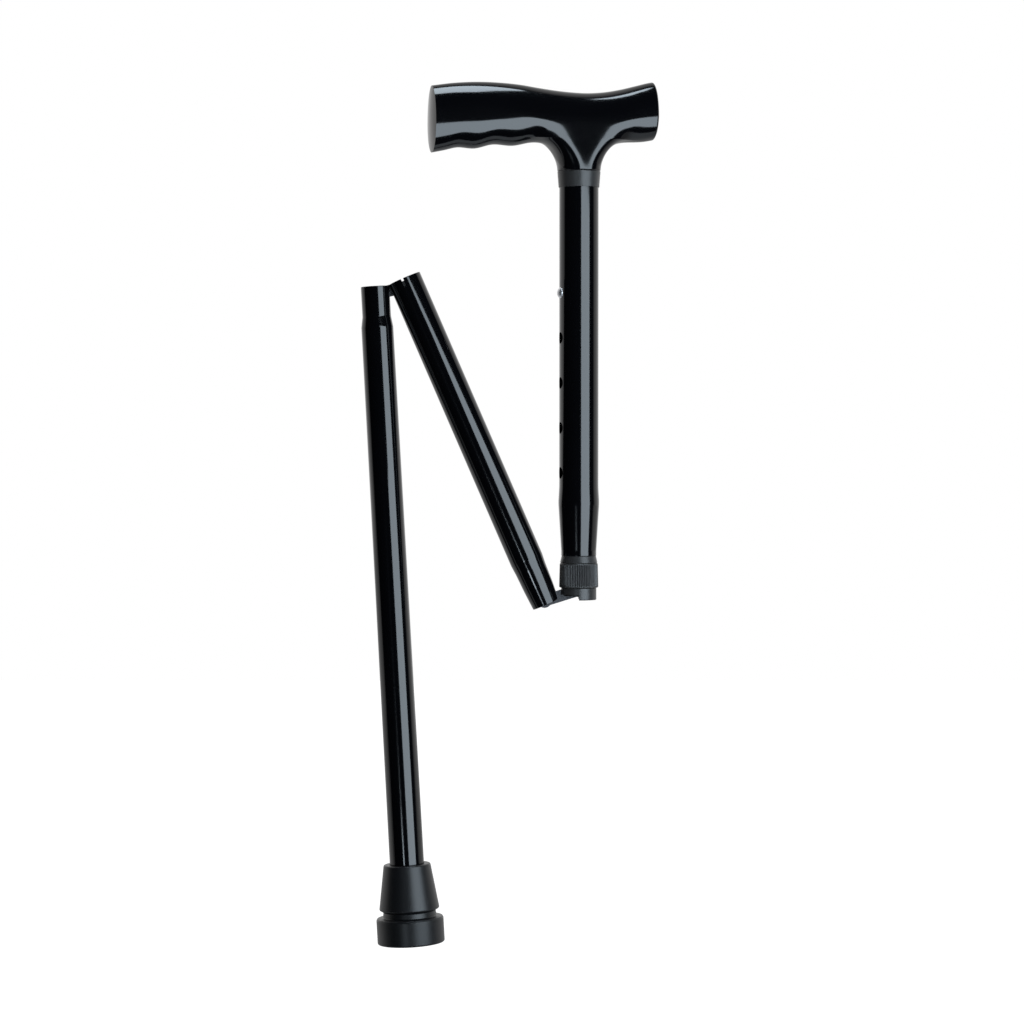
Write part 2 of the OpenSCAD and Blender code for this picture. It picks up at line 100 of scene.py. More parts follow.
def addMesh(name, points, faces, place=atUpper, sharpAngle=35):
    spots = np.asarray(points, dtype=float)
    matrix = np.array(place)
    spots = (spots @ matrix[:3, :3].T + matrix[:3, 3]) * toMetres
    mesh = bpy.data.meshes.new(name)
    mesh.from_pydata(spots.tolist(), [], faces)
    shadeSmooth(mesh, sharpAngle)
    piece = bpy.data.objects.new(name, mesh)
    bpy.context.scene.collection.objects.link(piece)
    return piece


# An arc takes at most edgeShare of the edges beside it, and lead is the share of its reach
# that stays straight before and after it
arcs = {"edgeShare": 0.45, "lead": 0.12, "steps": 7}

# Roundings that many pieces share
rounding = {"hair": 0.05, "inner": 0.1, "edge": 0.25}


def roundedPath(corners):
    # Each corner is (radius, height, rounding). A rounded corner becomes an arc between the two
    # points that lie rounding * tan(half the turn) from it, with a short straight run on each side.
    count = len(corners)
    flat = np.array([corner[:2] for corner in corners], dtype=float)
    path = []
    for i, corner in enumerate(corners):
        before, here, after = flat[i - 1], flat[i], flat[(i + 1) % count]
        lengthIn, lengthOut = np.linalg.norm(here - before), np.linalg.norm(after - here)
        comeIn = (here - before) / max(lengthIn, 1e-9)
        goOut = (after - here) / max(lengthOut, 1e-9)
        turn = math.acos(max(-1.0, min(1.0, float(comeIn @ goOut))))
        wanted = corner[2] if len(corner) > 2 else 0.0
        if wanted <= 0 or turn < 1e-4:
            path.append(here)
            continue
        reach = wanted * math.tan(turn / 2)
        reach = min(reach, arcs["edgeShare"] * lengthIn, arcs["edgeShare"] * lengthOut)
        radius = reach / math.tan(turn / 2)
        side = 1.0 if comeIn[0] * goOut[1] - comeIn[1] * goOut[0] > 0 else -1.0
        start = here - reach * comeIn
        centre = start + radius * side * np.array([-comeIn[1], comeIn[0]])
        path.append(start - arcs["lead"] * reach * comeIn)
        for k in range(arcs["steps"] + 1):
            angle = side * turn * k / arcs["steps"]
            spin = np.array([[math.cos(angle), -math.sin(angle)], [math.sin(angle), math.cos(angle)]])
            path.append(centre + spin @ (start - centre))
        path.append(here + (1 + arcs["lead"]) * reach * goOut)
    return np.array(path)


def dropLoose(piece):
    work = bmesh.new()
    work.from_mesh(piece.data)
    loose = [corner for corner in work.verts if not corner.link_faces]
    bmesh.ops.delete(work, geom=loose, context="VERTS")
    work.to_mesh(piece.data)
    work.free()


def turned(name, corners, place=atUpper, segments=128):
    # A closed profile turned about its own Z axis: (r cos a, r sin a, z)
    path = roundedPath(corners)
    area = 0.5 * np.sum(path[:, 0] * np.roll(path[:, 1], -1) - np.roll(path[:, 0], -1) * path[:, 1])
    if area < 0:
        path = path[::-1]
    count = len(path)
    angles = np.linspace(0, 2 * math.pi, segments, endpoint=False)
    grid = np.stack([
        np.outer(np.cos(angles), path[:, 0]),
        np.outer(np.sin(angles), path[:, 0]),
        np.tile(path[:, 1], (segments, 1)),
    ], axis=-1)
    points = grid.reshape(-1, 3).tolist()
    onAxis = path[:, 0] < 1e-6
    poles = {}
    for m in np.flatnonzero(onAxis):
        poles[m] = len(points)
        points.append([0.0, 0.0, path[m, 1]])

    def spot(k, m):
        return poles[m] if onAxis[m] else (k % segments) * count + m

    faces = []
    for k in range(segments):
        for m in range(count):
            n = (m + 1) % count
            if onAxis[m] and onAxis[n]:
                continue
            if onAxis[m]:
                faces.append((poles[m], spot(k + 1, n), spot(k, n)))
            elif onAxis[n]:
                faces.append((spot(k, m), spot(k + 1, m), poles[n]))
            else:
                faces.append((spot(k, m), spot(k + 1, m), spot(k + 1, n), spot(k, n)))
    piece = addMesh(name, points, faces, place)
    if onAxis.any():
        dropLoose(piece)
    return piece


def bandFaces(rows, count, closed=False):
    # Quads between neighbouring rows of count points each; closed joins the last row to the first
    faces = []
    for k in range(rows if closed else rows - 1):
        n = (k + 1) % rows
        for i in range(count):
            j = (i + 1) % count
            faces.append((k * count + i, k * count + j, n * count + j, n * count + i))
    return faces


# Cutters reach well outside a tube, and past its end
cutReach = 12
cutPast = 1


def block(low, high, place=atUpper):
    (x0, y0, z0), (x1, y1, z1) = low, high
    points = [(x0, y0, z0), (x1, y0, z0), (x1, y1, z0), (x0, y1, z0),
              (x0, y0, z1), (x1, y0, z1), (x1, y1, z1), (x0, y1, z1)]
    faces = [(0, 3, 2, 1), (4, 5, 6, 7), (0, 1, 5, 4), (1, 2, 6, 5), (2, 3, 7, 6), (3, 0, 4, 7)]
    return addMesh("cutter", points, faces, place)


def rod(radius, low, high, place):
    return turned("cutter", [(0, low), (radius, low), (radius, high), (0, high)], place, segments=48)


def cutAway(piece, cutters, sharpAngle=32):
    for cutter in cutters:
        change = piece.modifiers.new("cut", "BOOLEAN")
        change.operation = "DIFFERENCE"
        change.solver = "EXACT"
        change.object = cutter
    evaluated = bpy.context.evaluated_depsgraph_get()
    mesh = bpy.data.meshes.new_from_object(piece.evaluated_get(evaluated))
    piece.modifiers.clear()
    piece.data = mesh
    shadeSmooth(mesh, sharpAngle)
    for cutter in cutters:
        bpy.data.objects.remove(cutter)


# Materials: all procedural, on object coordinates. A finish's span drives the roughness by a fine noise,
# and roughness is the plain value for a reader that leaves out the noise.
finishes = {
    "tubePaint": {"colour": (0.0012, 0.0013, 0.0018), "roughness": 0.1, "grain": 60, "span": (0.08, 0.12)},
    "gripGloss": {"colour": (0.0012, 0.0013, 0.0018), "roughness": 0.1, "grain": 40, "span": (0.08, 0.12)},
    "darkPlastic": {"colour": (0.021, 0.021, 0.0212), "roughness": 0.36, "specular": 0.45,
                    "grain": 900, "span": (0.3, 0.38), "bump": 0.08, "bumpDistance": 0.0001},
    "darkSteel": {"colour": (0.1, 0.1, 0.105), "roughness": 0.36, "metallic": 1.0,
                  "grain": 120, "span": (0.32, 0.4)},
    "buttonSteel": {"colour": (0.8, 0.8, 0.82), "roughness": 0.45, "metallic": 1.0,
                    "grain": 120, "span": (0.4, 0.5)},
    "cordWeave": {"colour": (0.02, 0.02, 0.02), "roughness": 0.85,
                  "grain": 1200, "bump": 0.6, "bumpDistance": 0.0002},
    "tipRubber": {"colour": (0.003, 0.0033, 0.0042), "roughness": 0.38, "specular": 0.42,
                  "grain": 700, "span": (0.33, 0.43), "bump": 0.12, "bumpDistance": 0.0001},
}
slotFinishes = {
    "grip_gloss": "gripGloss", "tube_paint": "tubePaint", "dark_plastic": "darkPlastic",
    "steel": "darkSteel", "cord": "cordWeave", "rubber": "tipRubber",
}
grainDetail = 3


def newMaterial(name, colour, roughness, metallic=0.0, specular=0.5):
    material = bpy.data.materials.new(name)
    material.use_nodes = True
    shader = material.node_tree.nodes["Principled BSDF"]
    shader.inputs["Base Color"].default_value = (*colour, 1)
    shader.inputs["Roughness"].default_value = roughness
    shader.inputs["Metallic"].default_value = metallic
    shader.inputs["Specular IOR Level"].default_value = specular
    return material, shader


def grainedMaterial(name, finish):
    material, shader = newMaterial(name, finish["colour"], finish["roughness"],
                                   finish.get("metallic", 0.0), finish.get("specular", 0.5))
    nodes, links = material.node_tree.nodes, material.node_tree.links
    place = nodes.new("ShaderNodeTexCoord")
    noise = nodes.new("ShaderNodeTexNoise")
    noise.inputs["Scale"].default_value = finish["grain"]
    noise.inputs["Detail"].default_value = grainDetail
    links.new(place.outputs["Object"], noise.inputs["Vector"])
    if "span" in finish:
        span = nodes.new("ShaderNodeMapRange")
        span.inputs["To Min"].default_value = finish["span"][0]
        span.inputs["To Max"].default_value = finish["span"][1]
        links.new(noise.outputs["Fac"], span.inputs["Value"])
        links.new(span.outputs["Result"], shader.inputs["Roughness"])
    if "bump" in finish:
        lift = nodes.new("ShaderNodeBump")
        lift.inputs["Strength"].default_value = finish["bump"]
        lift.inputs["Distance"].default_value = finish["bumpDistance"]
        links.new(noise.outputs["Fac"], lift.inputs["Height"])
        links.new(lift.outputs["Normal"], shader.inputs["Normal"])
    return material


materials = {name: grainedMaterial(name, finish) for name, finish in finishes.items()}


def finishPiece(piece, node, body, slot, finish=None):
    piece.data.materials.clear()
    piece.data.materials.append(materials[finish or slotFinishes[slot]])
    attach(piece, body)
    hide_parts(node)


# Grip: one skin found by rays from the bar's middle line. The bar is a rounded section between a top
# line and an underside line with finger waves; the stem is a flared trumpet; both melt together where
# bar ** -blend + stem ** -blend = 1, with bar and stem each 1 on their own surface and less inside.
grip = {
    "turn": 17.0,
    "top": [(-86.4, 16.6), (-74.2, 18.0), (-59.6, 18.6), (-45, 18.0), (-34.5, 16.9), (-25, 15.3),
            (-15, 13.8), (-5, 12.7), (4.7, 12.2), (14.6, 12.7), (24.6, 14.2), (34.5, 16.4),
            (41.8, 18.0), (44, 18.3)],
    "under": [(-86.4, -20.7), (-78.4, -19.3), (-72.2, -18.0), (-61.2, -18.6), (-51.2, -16.5),
              (-38.7, -17.2), (-28.8, -15.5), (-15, -15.2), (0, -15.2), (24, -15.4),
              (38.7, -15.4), (44, -14.6)],
    "middle": [(-86.4, -4.2), (-74, -3.6), (-58, -2.9), (-40, -2.2), (-28, -1.8), (0, -2.4),
               (24, -1.6), (44, -1.0)],
    "lean": 0.0315, "sink": -0.6,
    "halfWidth": [(-86.4, 9.1), (-60, 10.0), (-30, 10.6), (-14, 10.6), (0, 10.4), (12, 10.4),
                  (28, 10.3), (44, 9.8)],
    "stemFront": [(-33.4, 12.06), (-32, 12.08), (-29, 12.1), (-26, 12.08), (-23, 12.03), (-18, 11.9),
                  (-10, 11.62), (-3, 11.05), (6, 9.95)],
    "square": 2.0, "blend": 9.0,
    "noseSeam": -86.2, "noseBulge": 0.9, "nosePower": 2, "noseRoot": 1,
    "heelSeam": 43.4, "heelBulge": 2.0, "heelPower": 6, "heelRoot": 0.5,
    "footZ": -32.4, "footRadius": 12.1, "footEdge": 0.8, "footInset": 0.6, "skirtZ": -33.4,
    "flareZ": -14.6, "noseFlare": 16.0, "heelFlare": 16.0,
    "frontFlare": 28.0, "frontPower": 2.2, "frontZ": -3.0, "frontMost": 1.3,
    "footSquare": 2.2, "stemSquare": 3.4, "squareShare": 0.6, "capZ": -8.0, "capRise": 10.0,
}

# How finely the grip's skin is drawn: rays and halvings of the search, points around half a section,
# sections across the stem, beside it and towards both ends, and the shrinking rings of the ends
gripMesh = {
    "rays": 900, "searchReach": 60.0, "halvings": 42, "leastShare": 1e-3, "around": 130,
    "across": 61, "beside": 45, "besideX": 30.0, "outerX": 30.5, "toNose": 46, "toHeel": 14,
    "ringFrom": 0.04, "ringTo": 0.9, "rings": 14, "edgeRings": [0.94, 0.97, 0.99], "sharpAngle": 38,
}


def lineThrough(places):
    # Cubic Hermite line through given places, each slope taken from its two neighbours
    xs = np.array([place[0] for place in places], dtype=float)
    ys = np.array([place[1] for place in places], dtype=float)
    slopes = np.gradient(ys, xs)

    def line(x):
        x = np.clip(np.asarray(x, dtype=float), xs[0], xs[-1])
        i = np.clip(np.searchsorted(xs, x) - 1, 0, len(xs) - 2)
        gap = xs[i + 1] - xs[i]
        t = (x - xs[i]) / gap
        return ((2 * t**3 - 3 * t**2 + 1) * ys[i] + (t**3 - 2 * t**2 + t) * gap * slopes[i]
                + (3 * t**2 - 2 * t**3) * ys[i + 1] + (t**3 - t**2) * gap * slopes[i + 1])

    return line


def leaning(places):
    return lineThrough([(x, z + grip["lean"] * x + grip["sink"]) for x, z in places])


topLine = leaning(grip["top"])
underLine = leaning(grip["under"])
middleLine = leaning(grip["middle"])
widthLine = lineThrough(grip["halfWidth"])
frontLine = lineThrough(grip["stemFront"])


def barShare(x, y, z):
    # |y / half width| ** n + |height from the middle line / reach| ** n = 1 on the bar's own surface
    middle = middleLine(x)
    reach = np.where(z > middle, topLine(x) - middle, middle - underLine(x))
    wide = np.abs(y / widthLine(x)) ** grip["square"]
    tall = np.abs((z - middle) / reach) ** grip["square"]
    return (wide + tall) ** (1 / grip["square"])


def stemShare(x, y, z):
    # A squared ellipse |x / length| ** n + |y / depth| ** n = 1 at each level. On the sides the length grows
    # along a quarter ellipse, on the front and back as a power of the height; the depth follows the front
    # line, and n grows upwards.
    depth = frontLine(z)
    front = np.clip(y / depth, -1, 1) ** 2
    sideRise = np.clip((z - grip["footZ"]) / (grip["flareZ"] - grip["footZ"]), 0, 1)
    frontRise = np.clip((z - grip["footZ"]) / (grip["frontZ"] - grip["footZ"]), 0, grip["frontMost"])
    edge = np.clip((grip["footZ"] + grip["footEdge"] - z) / grip["footEdge"], 0, 1)
    inset = grip["footInset"] * (1 - np.sqrt(1 - edge**2))
    sideFlare = np.where(x < 0, grip["noseFlare"], grip["heelFlare"]) * (1 - np.sqrt(1 - sideRise**2))
    frontFlare = grip["frontFlare"] * frontRise ** grip["frontPower"]
    length = grip["footRadius"] - inset + sideFlare * (1 - front) + frontFlare * front
    grow = np.clip(frontRise / grip["squareShare"], 0, 1)
    n = grip["footSquare"] + (grip["stemSquare"] - grip["footSquare"]) * grow * grow * (3 - 2 * grow)
    over = np.clip(z - grip["capZ"], 0, None) / grip["capRise"]
    return (np.abs(x / length) ** n + np.abs(y / (depth - inset)) ** n + over**n) ** (1 / n)


def insideGrip(x, y, z):
    bar = np.maximum(barShare(x, y, z), gripMesh["leastShare"])
    stem = np.maximum(stemShare(x, y, z), gripMesh["leastShare"])
    return (bar ** -grip["blend"] + stem ** -grip["blend"] > 1) & (z > grip["skirtZ"])


def gripOutlines(xs):
    # Front half of each section at x, from its top to its bottom, as points at even spacing
    angles = np.linspace(0.5 * math.pi, -0.5 * math.pi, gripMesh["rays"])
    x = xs[:, None]
    ySide, zSide = -np.cos(angles)[None, :], np.sin(angles)[None, :]
    low = np.zeros((len(xs), len(angles)))
    high = np.full_like(low, gripMesh["searchReach"])
    for halving in range(gripMesh["halvings"]):
        radius = 0.5 * (low + high)
        inside = insideGrip(x, radius * ySide, middleLine(x) + radius * zSide)
        low, high = np.where(inside, radius, low), np.where(inside, high, radius)
    y, z = low * ySide, middleLine(x) + low * zSide
    outlines = []
    for i in range(len(xs)):
        walked = np.concatenate([[0], np.cumsum(np.hypot(np.diff(y[i]), np.diff(z[i])))])
        even = np.linspace(0, walked[-1], gripMesh["around"] + 1)
        across, up = np.interp(even, walked, y[i]), np.interp(even, walked, z[i])
        outlines.append(np.stack([np.full(len(even), xs[i]), across, up], axis=-1))
    return np.array(outlines)


def gripStations():
    # Close together where the stem's sides stand upright, and sine spaced across the stem
    foot = grip["footRadius"]
    across = foot * np.sin(np.linspace(-0.5, 0.5, gripMesh["across"]) * math.pi)
    grow = np.linspace(0, 1, gripMesh["beside"])[1:] ** 2
    noseSide = -foot - (gripMesh["besideX"] - foot) * grow[::-1]
    heelSide = foot + (gripMesh["besideX"] - foot) * grow
    toNose = np.linspace(grip["noseSeam"], -gripMesh["outerX"], gripMesh["toNose"])
    toHeel = np.linspace(gripMesh["outerX"], grip["heelSeam"], gripMesh["toHeel"])
    return np.concatenate([toNose, noseSide, across, heelSide, toHeel])


def gripDome(edge, direction, bulge, power, root):
    # Rings that shrink towards the middle of the end; the rise is bulge * (1 - share ** power) ** root
    centre = np.array([edge[0, 0], 0.0, 0.5 * (edge[:, 2].max() + edge[:, 2].min())])
    inner = np.linspace(gripMesh["ringFrom"], gripMesh["ringTo"], gripMesh["rings"])
    caps = []
    for share in np.concatenate([inner, gripMesh["edgeRings"]]):
        ring = centre + (edge - centre) * share
        ring[:, 0] = edge[0, 0] + direction * bulge * (1 - share**power) ** root
        caps.append(ring)
    return caps


def buildGrip():
    half = gripOutlines(gripStations())
    back = half[:, -2:0:-1] * np.array([1, -1, 1])
    rings = list(np.concatenate([half, back], axis=1))
    count = len(rings[0])
    nose = gripDome(rings[0], -1, grip["noseBulge"], grip["nosePower"], grip["noseRoot"])
    heel = gripDome(rings[-1], 1, grip["heelBulge"], grip["heelPower"], grip["heelRoot"])
    rings = nose + rings + heel[::-1]
    faces = bandFaces(len(rings), count)
    last = (len(rings) - 1) * count
    faces.append(tuple(range(count))[::-1])
    faces.append(tuple(last + i for i in range(count)))
    points = np.concatenate(rings)
    piece = addMesh("gripBody", points, faces, turnZ(grip["turn"]), gripMesh["sharpAngle"])
    finishPiece(piece, "handle", "upper", "grip_gloss")


buildGrip()
print("stage: grip built")

# Collar under the stem: a cone-shaped ring that stands a little proud of the tube at its foot
collar = {"bore": 11.13, "top": 12.2, "foot": 11.5, "topZ": -32.45, "footZ": -41.5, "topEdge": 0.35}
piece = turned("handleCollar", [
    (collar["bore"], collar["footZ"], rounding["hair"]),
    (collar["foot"], collar["footZ"], rounding["edge"]),
    (collar["top"], collar["topZ"], collar["topEdge"]),
    (collar["bore"], collar["topZ"], rounding["hair"]),
])
finishPiece(piece, "handle_collar", "upper", "dark_plastic")

# Upper tube: a rolled bead and a drawn-in end, with a row of setting holes towards the fold side
upperTube = {
    "radius": 11.1, "bore": 10.1, "topZ": -16.4, "endZ": -249.5,
    "lip": 9.96, "lipBore": 8.96, "lipZ": -246.5, "lipBend": 3,
    "coneZ": -219.5, "bead": 0.5, "beadBend": 30, "swell": 9.0, "swellBend": 60,
    "boreRise": 3, "boreBend": 4,
    "holeZ": -101.0, "holePitch": 25.4, "holes": 5, "holeRadius": 3.26, "holeTurn": 197,
    "holeFrom": 8.0, "holeTo": 13.0,
}
piece = turned("upperTube", [
    (upperTube["lipBore"], upperTube["endZ"], rounding["inner"]),
    (upperTube["lip"], upperTube["endZ"], rounding["edge"]),
    (upperTube["lip"], upperTube["lipZ"], upperTube["lipBend"]),
    (upperTube["radius"] + upperTube["bead"], upperTube["coneZ"], upperTube["beadBend"]),
    (upperTube["radius"], upperTube["coneZ"] + upperTube["swell"], upperTube["swellBend"]),
    (upperTube["radius"], upperTube["topZ"], rounding["edge"]),
    (upperTube["bore"], upperTube["topZ"], rounding["inner"]),
    (upperTube["bore"], upperTube["coneZ"] + upperTube["boreRise"], upperTube["boreBend"]),
    (upperTube["lipBore"], upperTube["lipZ"], upperTube["lipBend"]),
], segments=160)


def atHole(number):
    # A place on the shaft's axis at the height of a setting hole, with its Z axis out through the hole
    level = Matrix.Translation((0, 0, upperTube["holeZ"] - number * upperTube["holePitch"]))
    return level @ turnZ(upperTube["holeTurn"]) @ turnY(90)


cutAway(piece, [
    rod(upperTube["holeRadius"], upperTube["holeFrom"], upperTube["holeTo"], atHole(number))
    for number in range(upperTube["holes"])
])
finishPiece(piece, "upper_tube", "upper", "tube_paint")

# Snap button: a flanged stud with a low dome, turned about the axis of the top hole. The dome is given
# as (radius, drop below its top).
button = {
    "flange": 4.2, "flangeIn": 5.63, "flangeOut": 6.63, "flangeEdge": 0.2,
    "stud": 3.2, "edge": 11.1, "edgeRounding": 0.5, "top": 12.8,
    "dome": [(2.2, 0.69), (1.1, 0.16)], "domeBend": 3,
}
piece = turned("snapButton", [
    (0, button["flangeIn"]),
    (button["flange"], button["flangeIn"], button["flangeEdge"]),
    (button["flange"], button["flangeOut"], button["flangeEdge"]),
    (button["stud"], button["flangeOut"]),
    (button["stud"], button["edge"], button["edgeRounding"]),
    *[(radius, button["top"] - drop, button["domeBend"]) for radius, drop in button["dome"]],
    (0, button["top"]),
], atHole(0), segments=64)
finishPiece(piece, "snap_button", "button", "steel", "buttonSteel")

# Lock bush: the plain flange, with the sleeve that the ring runs on
bush = {
    "bore": 8.96, "sleeve": 9.74, "flangeTop": 9.7, "flange": 10.6, "flangeEdge": 0.3,
    "topZ": -249.55, "flangeZ": -253.5, "footZ": -267.5,
}
piece = turned("lockBush", [
    (bush["bore"], bush["footZ"], rounding["hair"]),
    (bush["sleeve"], bush["footZ"], rounding["hair"]),
    (bush["sleeve"], bush["flangeZ"]),
    (bush["flange"], bush["flangeZ"], bush["flangeEdge"]),
    (bush["flangeTop"], bush["topZ"], bush["flangeEdge"]),
    (bush["bore"], bush["topZ"], rounding["hair"]),
])
finishPiece(piece, "lock_bush", "upper", "dark_plastic")

# Lock ring: radius(angle, z) = barrel(z) - depth(z) * (0.5 - 0.5 cos(ribs * angle)) ** groovePower, where
# the barrel widens a little downwards and the grooves run out towards both ends
ring = {
    "bore": 9.8, "topZ": -253.6, "footZ": -267.6, "topRadius": 10.75, "footRadius": 11.1, "edge": 0.8,
    "ribs": 66, "perRib": 10, "depth": 0.5, "groovePower": 1.4, "fadeFrom": 0.35, "fadeOver": 1.1,
    "edgeShare": 0.1, "edgeLoops": 9, "middleShare": 0.14, "middleLoops": 8, "sharpAngle": 50,
}


def buildRing():
    segments = ring["ribs"] * ring["perRib"]
    angles = np.linspace(0, 2 * math.pi, segments, endpoint=False)
    groove = (0.5 - 0.5 * np.cos(ring["ribs"] * angles)) ** ring["groovePower"]
    height = ring["topZ"] - ring["footZ"]
    edge = ring["edge"]
    shares = np.concatenate([
        np.linspace(0, ring["edgeShare"], ring["edgeLoops"]),
        np.linspace(ring["middleShare"], 1 - ring["middleShare"], ring["middleLoops"]),
        np.linspace(1 - ring["edgeShare"], 1, ring["edgeLoops"]),
    ])
    loops = [(np.full(segments, ring["bore"]), ring["footZ"])]
    for share in shares:
        away = min(share, 1 - share) * height
        inset = 0.0 if away > edge else edge - math.sqrt(max(edge**2 - (edge - away) ** 2, 0.0))
        fade = min(1.0, max(0.0, (away - ring["fadeFrom"]) / ring["fadeOver"]))
        barrel = ring["footRadius"] + (ring["topRadius"] - ring["footRadius"]) * share - inset
        depth = ring["depth"] * fade * fade * (3 - 2 * fade)
        loops.append((barrel - depth * groove, ring["footZ"] + share * height))
    loops.append((np.full(segments, ring["bore"]), ring["topZ"]))
    points = np.concatenate([
        np.stack([radius * np.cos(angles), radius * np.sin(angles), np.full(segments, z)], axis=-1)
        for radius, z in loops
    ])
    faces = bandFaces(len(loops), segments, closed=True)
    piece = addMesh("lockRing", points, faces, sharpAngle=ring["sharpAngle"])
    finishPiece(piece, "lock_ring", "lock_ring", "dark_plastic")


buildRing()

# Mouth ferrule: a plain ring, slotted and half notched on the fold side
ferrule = {
    "bore": 8.92, "radius": 10.0, "footZ": -274.5, "topZ": -267.7, "footEdge": 0.9, "topEdge": 0.4,
    "notch": 3.0, "slot": 1.3,
}
piece = turned("mouthFerrule", [
    (ferrule["bore"], ferrule["footZ"], rounding["inner"]),
    (ferrule["radius"], ferrule["footZ"], ferrule["footEdge"]),
    (ferrule["radius"], ferrule["topZ"], ferrule["topEdge"]),
    (ferrule["bore"], ferrule["topZ"], rounding["inner"]),
])
cutAway(piece, [
    block((-cutReach, -ferrule["slot"], ferrule["footZ"] - cutPast),
          (0, ferrule["slot"], ferrule["topZ"] + cutPast)),
    block((-cutReach, -cutReach, ferrule["footZ"] - cutPast),
          (0, cutReach, ferrule["footZ"] + ferrule["notch"])),
])
finishPiece(piece, "mouth_ferrule", "inner", "dark_plastic")
print("stage: upper section built")

# Middle tube: a tapered, slotted neck at its foot, and a mouth with a slot on the fold side and a narrow
# key slot straight across
middleTube = {
    "neckEnd": 7.85, "neckBore": 6.85, "neckMid": 8.6, "neckRoot": 9.05, "rootBore": 7.8,
    "radius": 9.525, "bore": 8.325, "neckZ": 22.0, "shoulderZ": 27.5, "length": 201.0,
    "neckBend": 20, "shoulderBend": 8, "boreBend": 6,
    "slot": 1.3, "neckSlot": 7.2, "mouthSlot": 24.0, "keyDepth": 5.0, "keyFrom": -1.9, "keyTo": -0.5,
}
piece = turned("middleTube", [
    (middleTube["neckBore"], 0, rounding["hair"]),
    (middleTube["neckEnd"], 0, rounding["edge"]),
    (middleTube["neckMid"], 0.5 * middleTube["neckZ"], middleTube["neckBend"]),
    (middleTube["neckRoot"], middleTube["neckZ"], middleTube["shoulderBend"]),
    (middleTube["radius"], middleTube["shoulderZ"], middleTube["shoulderBend"]),
    (middleTube["radius"], middleTube["length"], rounding["edge"]),
    (middleTube["bore"], middleTube["length"], rounding["inner"]),
    (middleTube["bore"], middleTube["shoulderZ"], middleTube["boreBend"]),
    (middleTube["rootBore"], middleTube["neckZ"], middleTube["boreBend"]),
], atMiddle, segments=160)
cutAway(piece, [
    block((0, -middleTube["slot"], -cutPast),
          (cutReach, middleTube["slot"], middleTube["neckSlot"]), atMiddle),
    block((-cutReach, -middleTube["slot"], middleTube["length"] - middleTube["mouthSlot"]),
          (0, middleTube["slot"], middleTube["length"] + cutPast), atMiddle),
    block((middleTube["keyFrom"], -cutReach, middleTube["length"] - middleTube["keyDepth"]),
          (middleTube["keyTo"], cutReach, middleTube["length"] + cutPast), atMiddle),
])
finishPiece(piece, "middle_tube", "middle", "tube_paint")

# Lower tube: a straight, slotted neck and a shoulder, then a slow taper that widens down to the tip
lowerTube = {
    "neck": 8.1, "neckBore": 7.2, "neckZ": 17.0, "top": 9.05, "topBore": 7.85, "shoulderZ": 23.0,
    "foot": 9.75, "footBore": 8.55, "showZ": 327.8, "footZ": 355.8,
    "neckBend": 4, "shoulderBend": 6, "slot": 1.3, "neckSlot": 9.3,
}
piece = turned("lowerTube", [
    (lowerTube["neckBore"], 0, rounding["hair"]),
    (lowerTube["neck"], 0, rounding["edge"]),
    (lowerTube["neck"], lowerTube["neckZ"], lowerTube["neckBend"]),
    (lowerTube["top"], lowerTube["shoulderZ"], lowerTube["shoulderBend"]),
    (lowerTube["foot"], lowerTube["showZ"]),
    (lowerTube["foot"], lowerTube["footZ"], rounding["edge"]),
    (lowerTube["footBore"], lowerTube["footZ"], rounding["inner"]),
    (lowerTube["footBore"], lowerTube["showZ"]),
    (lowerTube["topBore"], lowerTube["shoulderZ"], lowerTube["shoulderBend"]),
    (lowerTube["neckBore"], lowerTube["neckZ"], lowerTube["shoulderBend"]),
], atLower, segments=160)
cutAway(piece, [
    block((0, -lowerTube["slot"], -cutPast), (cutReach, lowerTube["slot"], lowerTube["neckSlot"]), atLower),
])
finishPiece(piece, "lower_tube", "lower", "tube_paint")
print("stage: middle and lower sections built")

# Tip: a cone with a groove above its base, and ring grooves in the sole, as wide as the lands between
tip = {
    "bore": 9.77, "boreEdge": 0.4, "rim": 13.3, "rimZ": 327.8, "waist": 17.1, "coneZ": 353.3, "coneEdge": 0.9,
    "groove": 14.9, "grooveDrop": 1.3, "grooveEdge": 0.5,
    "grooveFlare": 0.3, "grooveRise": 0.4, "flareEdge": 0.6,
    "base": 19.1, "baseZ": 358.1, "baseInset": 0.5, "baseDrop": 1.0, "shoulderEdge": 0.5, "baseEdge": 0.8,
    "soleZ": 372.8, "soleEdge": 1.2, "seatZ": 357.36,
    "treads": 3, "treadDepth": 1.4, "treadEdge": 0.3, "land": 4.0,
}


def soleTreads():
    step = (tip["base"] - tip["land"]) / (2 * tip["treads"] + 1)
    flat, deep = tip["soleZ"], tip["soleZ"] - tip["treadDepth"]
    corners = []
    for k in reversed(range(tip["treads"])):
        inner = tip["land"] + (2 * k + 1) * step
        outer = inner + step
        for radius, z in ((outer, flat), (outer, deep), (inner, deep), (inner, flat)):
            corners.append((radius, z, tip["treadEdge"]))
    return corners


